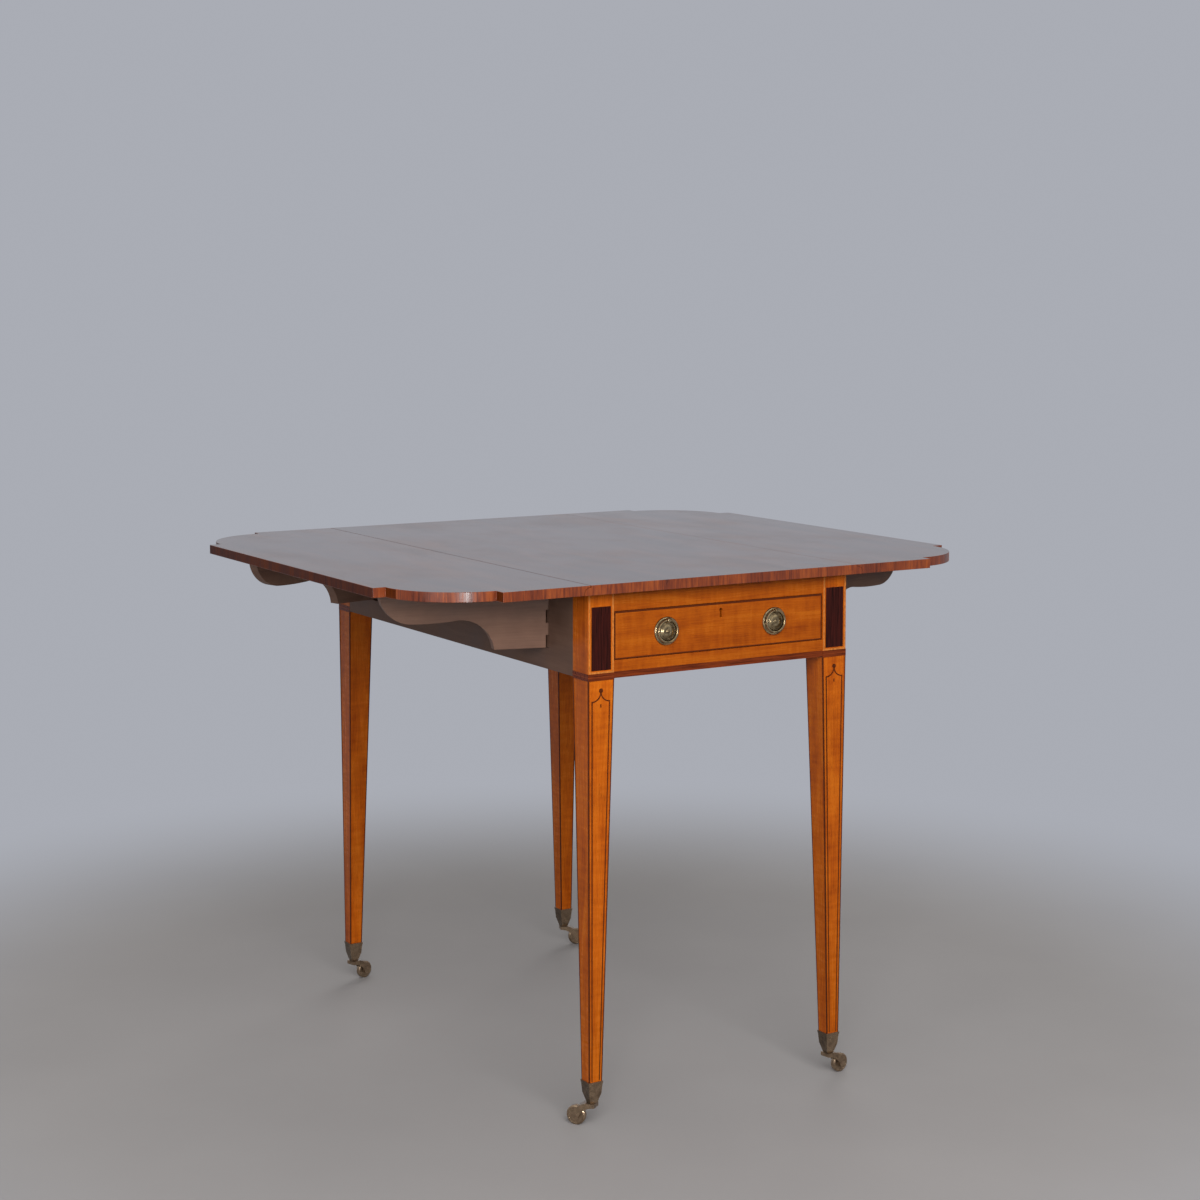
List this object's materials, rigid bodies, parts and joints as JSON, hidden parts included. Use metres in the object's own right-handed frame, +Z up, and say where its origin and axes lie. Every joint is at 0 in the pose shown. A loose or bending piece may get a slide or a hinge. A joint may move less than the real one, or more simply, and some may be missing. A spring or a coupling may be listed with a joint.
{
  "type": "pembroke table",
  "caption": "Drop-leaf occasional table on tapered legs with casters: hinged leaves held up by swinging fly brackets, over a frieze drawer with ring pulls.",
  "frame": {"origin": "on the floor under the middle of the top", "axes": "+X across the leaves, -Y towards the drawer end, +Z up"},
  "size_m": [0.92, 0.796, 0.72],
  "materials": {
    "top_wood": "polished dark figured wood, crossbanded edge",
    "satinwood": "polished satinwood with dark and light stringing",
    "secondary_wood": "plain unpolished secondary wood",
    "aged_brass": "aged, rubbed bright on edges",
    "iron": "dark steel"
  },
  "bodies": {
    "frame": {"centre_top": "top_wood", "left_hinge_frame_flaps": "iron", "left_hinge_pins": "iron", "left_inner_rail": "secondary_wood", "left_fly_rail": "secondary_wood", "left_bracket_pins": "iron", "left_drawer_runner": "secondary_wood", "left_drawer_kicker": "secondary_wood", "right_hinge_frame_flaps": "iron", "right_hinge_pins": "iron", "right_inner_rail": "secondary_wood", "right_fly_rail": "secondary_wood", "right_bracket_pins": "iron", "right_drawer_runner": "secondary_wood", "right_drawer_kicker": "secondary_wood", "front_upper_rail": "satinwood", "front_lower_rail": "satinwood", "back_upper_rail": "satinwood", "back_lower_rail": "satinwood", "dummy_drawer_front": "satinwood", "front_left_leg": "satinwood", "front_left_caster_socket": "aged_brass", "back_left_leg": "satinwood", "back_left_caster_socket": "aged_brass", "back_left_handle_plate": "aged_brass", "front_right_leg": "satinwood", "front_right_caster_socket": "aged_brass", "back_right_leg": "satinwood", "back_right_caster_socket": "aged_brass", "back_right_handle_plate": "aged_brass"},
    "drawer": {"drawer_front": "satinwood", "drawer_left_side": "secondary_wood", "drawer_right_side": "secondary_wood", "drawer_back": "secondary_wood", "drawer_bottom": "secondary_wood", "drawer_lock": "aged_brass", "front_left_handle_plate": "aged_brass", "front_right_handle_plate": "aged_brass"},
    "lock_bolt": {"lock_bolt": "aged_brass"},
    "left_leaf": {"left_leaf": "top_wood", "left_hinge_leaf_flaps": "iron"},
    "right_leaf": {"right_leaf": "top_wood", "right_hinge_leaf_flaps": "iron"},
    "front_left_bracket": {"front_left_bracket": "secondary_wood"},
    "front_left_handle_ring": {"front_left_handle_ring": "aged_brass"},
    "front_left_caster": {"front_left_caster_horn": "aged_brass"},
    "front_left_wheel": {"front_left_caster_wheel": "aged_brass"},
    "back_left_bracket": {"back_left_bracket": "secondary_wood"},
    "back_left_handle_ring": {"back_left_handle_ring": "aged_brass"},
    "back_left_caster": {"back_left_caster_horn": "aged_brass"},
    "back_left_wheel": {"back_left_caster_wheel": "aged_brass"},
    "front_right_bracket": {"front_right_bracket": "secondary_wood"},
    "front_right_handle_ring": {"front_right_handle_ring": "aged_brass"},
    "front_right_caster": {"front_right_caster_horn": "aged_brass"},
    "front_right_wheel": {"front_right_caster_wheel": "aged_brass"},
    "back_right_bracket": {"back_right_bracket": "secondary_wood"},
    "back_right_handle_ring": {"back_right_handle_ring": "aged_brass"},
    "back_right_caster": {"back_right_caster_horn": "aged_brass"},
    "back_right_wheel": {"back_right_caster_wheel": "aged_brass"}
  },
  "joints": [
    {"name": "drawer_slide", "type": "slide", "parent": "frame", "child": "drawer", "axis": [0, -1, 0], "range_m": [0, 0.4]},
    {"name": "lock_bolt_throw", "type": "slide", "parent": "drawer", "child": "lock_bolt", "axis": [0, 0, 1], "range_m": [0, 0.006]},
    {"name": "left_leaf_hinge", "type": "hinge", "parent": "frame", "child": "left_leaf", "pos_m": [-0.212, 0, 0.708], "axis": [0, 1, 0], "range_deg": [0, 2]},
    {"name": "right_leaf_hinge", "type": "hinge", "parent": "frame", "child": "right_leaf", "pos_m": [0.212, 0, 0.708], "axis": [0, -1, 0], "range_deg": [0, 2]},
    {"name": "front_left_bracket_swing", "type": "hinge", "parent": "frame", "child": "front_left_bracket", "pos_m": [-0.197, -0.26998, 0.6231], "axis": [0, 0, -1], "range_deg": [-15, 75]},
    {"name": "front_left_ring_swing", "type": "hinge", "parent": "drawer", "child": "front_left_handle_ring", "pos_m": [-0.086, -0.3841, 0.664], "axis": [-1, 0, 0], "range_deg": [0, 90]},
    {"name": "front_left_caster_swivel", "type": "hinge", "parent": "frame", "child": "front_left_caster", "pos_m": [-0.19255, -0.36755, 0.032], "axis": [0, 0, 1], "continuous": true},
    {"name": "front_left_wheel_roll", "type": "hinge", "parent": "front_left_caster", "child": "front_left_wheel", "pos_m": [-0.20572, -0.35069, 0.0131], "axis": [-0.788, -0.6157, 0], "continuous": true},
    {"name": "back_left_bracket_swing", "type": "hinge", "parent": "frame", "child": "back_left_bracket", "pos_m": [-0.197, 0.26998, 0.6231], "axis": [0, 0, 1], "range_deg": [-15, 75]},
    {"name": "back_left_ring_swing", "type": "hinge", "parent": "frame", "child": "back_left_handle_ring", "pos_m": [-0.086, 0.3841, 0.664], "axis": [1, 0, 0], "range_deg": [0, 90]},
    {"name": "back_left_caster_swivel", "type": "hinge", "parent": "frame", "child": "back_left_caster", "pos_m": [-0.19255, 0.36755, 0.032], "axis": [0, 0, 1], "continuous": true},
    {"name": "back_left_wheel_roll", "type": "hinge", "parent": "back_left_caster", "child": "back_left_wheel", "pos_m": [-0.17198, 0.37345, 0.0131], "axis": [-0.2756, 0.9613, 0], "continuous": true},
    {"name": "front_right_bracket_swing", "type": "hinge", "parent": "frame", "child": "front_right_bracket", "pos_m": [0.197, -0.26998, 0.6231], "axis": [0, 0, 1], "range_deg": [-15, 75]},
    {"name": "front_right_ring_swing", "type": "hinge", "parent": "drawer", "child": "front_right_handle_ring", "pos_m": [0.086, -0.3841, 0.664], "axis": [-1, 0, 0], "range_deg": [0, 90]},
    {"name": "front_right_caster_swivel", "type": "hinge", "parent": "frame", "child": "front_right_caster", "pos_m": [0.19255, -0.36755, 0.032], "axis": [0, 0, 1], "continuous": true},
    {"name": "front_right_wheel_roll", "type": "hinge", "parent": "front_right_caster", "child": "front_right_wheel", "pos_m": [0.21379, -0.36494, 0.0131], "axis": [-0.1219, 0.9925, 0], "continuous": true},
    {"name": "back_right_bracket_swing", "type": "hinge", "parent": "frame", "child": "back_right_bracket", "pos_m": [0.197, 0.26998, 0.6231], "axis": [0, 0, -1], "range_deg": [-15, 75]},
    {"name": "back_right_ring_swing", "type": "hinge", "parent": "frame", "child": "back_right_handle_ring", "pos_m": [0.086, 0.3841, 0.664], "axis": [1, 0, 0], "range_deg": [0, 90]},
    {"name": "back_right_caster_swivel", "type": "hinge", "parent": "frame", "child": "back_right_caster", "pos_m": [0.19255, 0.36755, 0.032], "axis": [0, 0, 1], "continuous": true},
    {"name": "back_right_wheel_roll", "type": "hinge", "parent": "back_right_caster", "child": "back_right_wheel", "pos_m": [0.21266, 0.36023, 0.0131], "axis": [0.342, 0.9397, 0], "continuous": true}
  ]
}
